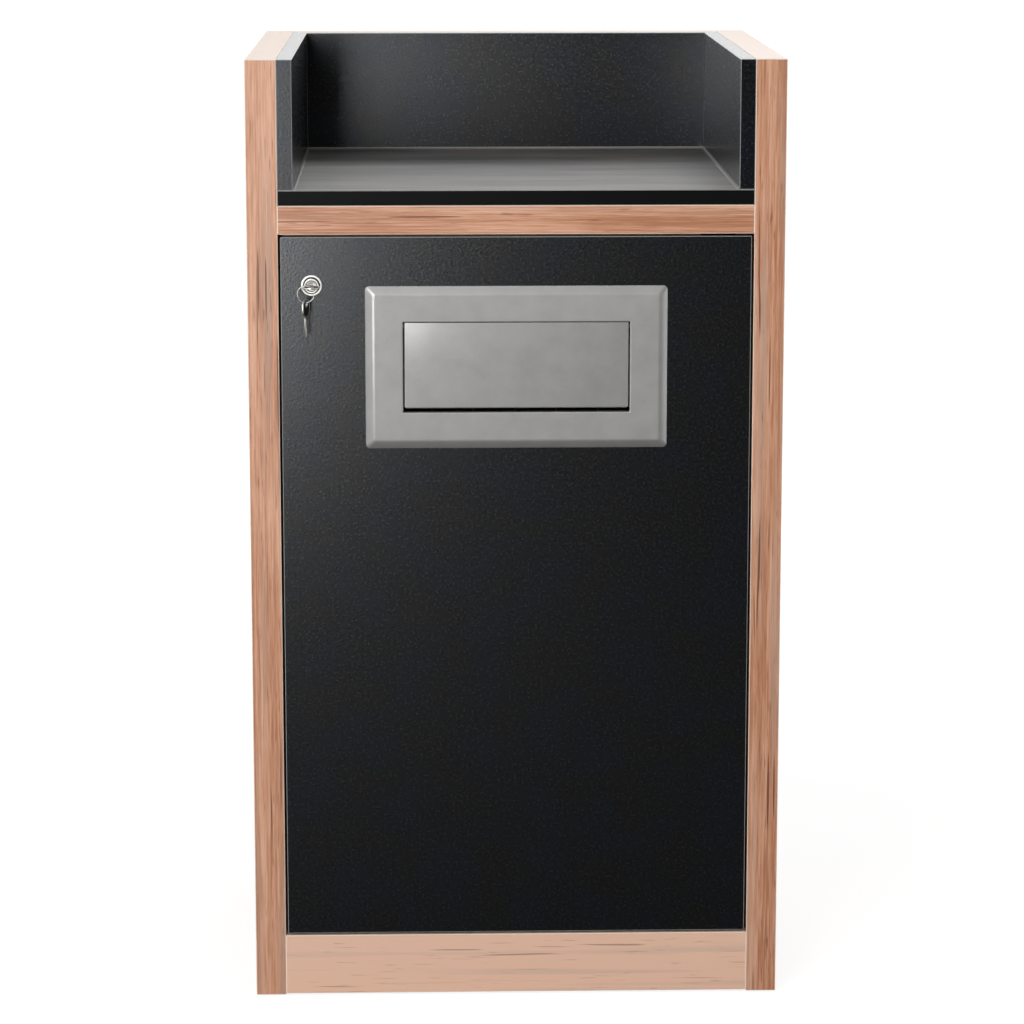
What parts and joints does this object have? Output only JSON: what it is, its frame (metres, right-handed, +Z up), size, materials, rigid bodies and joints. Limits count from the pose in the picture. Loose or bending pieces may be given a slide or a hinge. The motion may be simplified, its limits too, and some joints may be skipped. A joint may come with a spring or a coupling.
{
  "type": "tray top trash cabinet",
  "caption": "Floor-standing wood waste cabinet with a black locking door, a steel spring flap to drop waste through, a lift-out bin inside and a railed tray top.",
  "frame": {"origin": "on the floor, midway between the side panels, and midway between the back and the front of the hanging spare key", "axes": "+Z up, the door looks along -Y, +X to the viewer's right when facing the door"},
  "size_m": [0.66, 0.6466, 1.185],
  "materials": {
    "wood_laminate": "satin laminate with fine straight grain",
    "black_laminate": "matt fine-textured laminate on board",
    "grey_top_laminate": "matt laminate, a little scuffed",
    "batten_wood": "plain sawn and planed",
    "dowel_wood": "turned",
    "sealant": "smooth bead",
    "stainless": "satin brushed",
    "nickel": "bright plated",
    "zinc_steel": "bright zinc plated",
    "spring_steel": "drawn wire",
    "black_rubber": "matt",
    "clear_bumper": "soft",
    "bin_plastic": "moulded, fine grain",
    "foot_plastic": "moulded"
  },
  "bodies": {
    "root": {"left_side_panel": "wood_laminate", "right_side_panel": "wood_laminate", "back_panel": "wood_laminate", "bottom_deck": "black_laminate", "kick_board": "wood_laminate", "top_rail": "wood_laminate", "shelf_side_cleats": "batten_wood", "shelf_front_cleat": "batten_wood", "shelf_rear_cleat": "batten_wood", "door_stop_strip": "batten_wood", "bottom_stop_block": "batten_wood", "tray_shelf": "grey_top_laminate", "tray_left_wall": "black_laminate", "tray_right_wall": "black_laminate", "tray_back_wall": "black_laminate", "tray_sealant": "sealant", "joint_dowels": "dowel_wood", "cleat_screws": "zinc_steel", "strike_bracket": "zinc_steel", "strike_screws": "zinc_steel", "hinge_base_plates": "zinc_steel", "hinge_arms": "zinc_steel", "hinge_plate_screws": "zinc_steel", "hinge_clamp_screws": "zinc_steel", "leveller_sockets": "zinc_steel"},
    "door": {"door_panel": "black_laminate", "hinge_cups": "zinc_steel", "hinge_pins": "zinc_steel", "hinge_cup_screws": "zinc_steel", "door_bumpers": "clear_bumper", "bezel": "stainless", "bezel_studs": "stainless", "bezel_washers": "zinc_steel", "bezel_nuts": "zinc_steel", "flap_brackets": "zinc_steel", "flap_stop_pads": "black_rubber", "flap_rod": "stainless", "flap_rod_clips": "zinc_steel", "flap_springs": "spring_steel", "lock_body": "nickel", "lock_nut": "zinc_steel"},
    "flap": {"flap_panel": "stainless", "flap_spring_legs": "spring_steel"},
    "plug": {"lock_plug": "nickel", "lock_cam": "zinc_steel", "lock_cam_screw": "zinc_steel"},
    "key": {"lock_key": "nickel"},
    "ring": {"key_ring": "nickel"},
    "spare": {"spare_key": "nickel"},
    "bin": {"waste_bin": "bin_plastic"},
    "foot_front_left": {"leveller_front_left": "foot_plastic"},
    "foot_front_right": {"leveller_front_right": "foot_plastic"},
    "foot_rear_left": {"leveller_rear_left": "foot_plastic"},
    "foot_rear_right": {"leveller_rear_right": "foot_plastic"}
  },
  "joints": [
    {"name": "door_swing", "type": "hinge", "parent": "root", "child": "door", "pos_m": [0.262, -0.27573, 0.526], "axis": [0, 0, 1], "range_deg": [0, 100]},
    {"name": "flap_swing", "type": "hinge", "parent": "door", "child": "flap", "pos_m": [0, -0.28073, 0.858], "axis": [1, 0, 0], "range_deg": [0, 75], "stiffness_Nm_per_rad": 0.2, "springref_deg": -28.65},
    {"name": "cam_turn", "type": "hinge", "parent": "door", "child": "plug", "pos_m": [-0.251, -0.28673, 0.9095], "axis": [0, 1, 0], "range_deg": [0, 90]},
    {"name": "key_pull", "type": "slide", "parent": "plug", "child": "key", "axis": [0, -1, 0], "range_m": [0, 0.024]},
    {"name": "ring_swing", "type": "hinge", "parent": "key", "child": "ring", "pos_m": [-0.2575, -0.31263, 0.9109], "axis": [1, 0, 0], "range_deg": [-25, 5]},
    {"name": "spare_swing", "type": "hinge", "parent": "ring", "child": "spare", "pos_m": [-0.2575, -0.31263, 0.8919], "axis": [1, 0, 0], "range_deg": [-20, 8]},
    {"name": "bin_lift", "type": "slide", "parent": "root", "child": "bin", "axis": [0, 0, 1], "range_m": [0, 0.03]},
    {"name": "foot_front_left_screw", "type": "slide", "parent": "root", "child": "foot_front_left", "axis": [0, 0, -1], "range_m": [0, 0.012]},
    {"name": "foot_front_right_screw", "type": "slide", "parent": "root", "child": "foot_front_right", "axis": [0, 0, -1], "range_m": [0, 0.012]},
    {"name": "foot_rear_left_screw", "type": "slide", "parent": "root", "child": "foot_rear_left", "axis": [0, 0, -1], "range_m": [0, 0.012]},
    {"name": "foot_rear_right_screw", "type": "slide", "parent": "root", "child": "foot_rear_right", "axis": [0, 0, -1], "range_m": [0, 0.012]}
  ]
}
